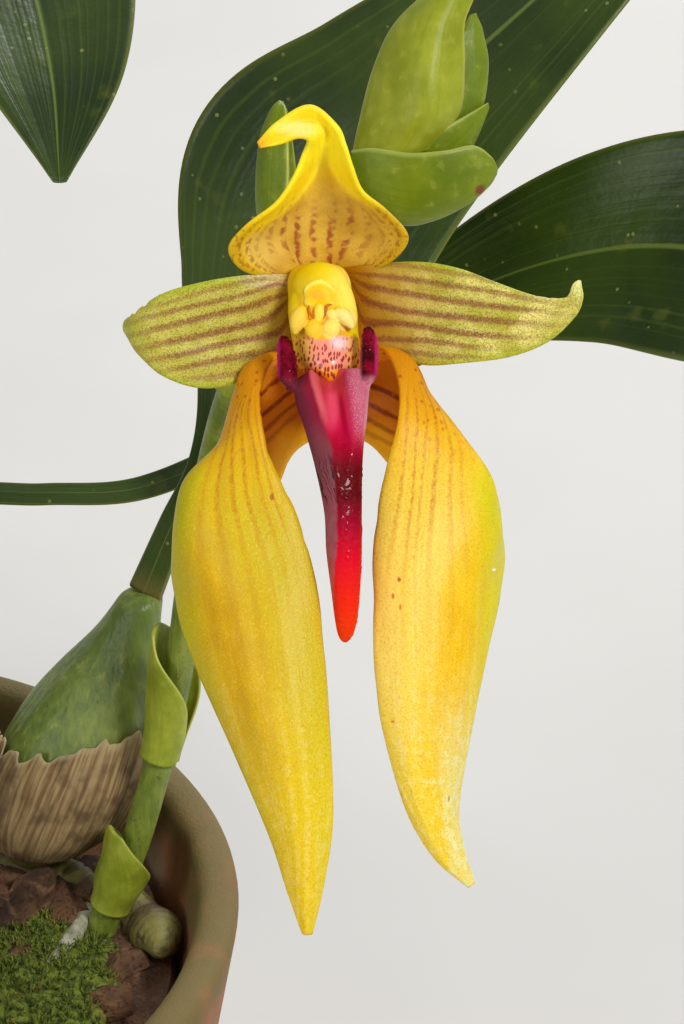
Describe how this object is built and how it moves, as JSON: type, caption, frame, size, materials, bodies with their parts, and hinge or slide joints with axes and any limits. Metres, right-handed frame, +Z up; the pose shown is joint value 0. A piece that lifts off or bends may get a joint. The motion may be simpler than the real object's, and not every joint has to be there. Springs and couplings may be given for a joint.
{
  "type": "potted orchid",
  "caption": "Orchid in a clay pot of bark and moss: creeping pseudobulbs with strap leaves, and a leaning stalk with bracts and an open flower with hanging golden sepals.",
  "frame": {"origin": "centre of the pot's underside, on the surface that it stands on", "axes": "+Z up; the flower looks towards -Y and a little up; +X is to the right of someone who looks at the flower"},
  "size_m": [0.3294, 0.185, 0.2537],
  "materials": {
    "clay": "matte",
    "bark": "matte",
    "moss": "matte",
    "rhizome": "matte",
    "pseudobulb": "satin",
    "husk": "matte",
    "leaf": "satin",
    "scape": "satin",
    "stalk_sheath": "satin",
    "bract": "satin",
    "bud": "satin",
    "pedicel": "satin",
    "column": "satin",
    "anther": "satin",
    "lip": "gloss",
    "dorsal_sepal": "satin",
    "petal": "satin",
    "lateral_sepal": "satin"
  },
  "bodies": {
    "root": {"column": "column", "anther_cap": "anther", "pedicel": "pedicel", "lip": "lip", "dorsal_sepal": "dorsal_sepal", "lateral_sepal_left": "lateral_sepal", "lateral_sepal_right": "lateral_sepal", "petal_left": "petal", "petal_right": "petal", "flower_bud": "bud", "bract_1": "bract", "pseudobulb_1": "pseudobulb", "leaf_1": "leaf", "bract_2": "bract", "pseudobulb_2": "pseudobulb", "leaf_2": "leaf", "bract_3": "bract", "pseudobulb_3": "pseudobulb", "leaf_3": "leaf", "bract_4": "bract", "pseudobulb_4": "pseudobulb", "leaf_4": "leaf", "bract_5": "bract", "pseudobulb_5": "pseudobulb", "leaf_5": "leaf", "husk_1": "husk", "stalk_sheath_1": "stalk_sheath", "moss_1": "moss", "husk_2": "husk", "stalk_sheath_2": "stalk_sheath", "moss_2": "moss", "husk_3": "husk", "stalk_sheath_3": "stalk_sheath", "moss_3": "moss", "scape": "scape", "rhizome": "rhizome", "pot": "clay", "potting_bark": "bark"}
  },
  "joints": []
}
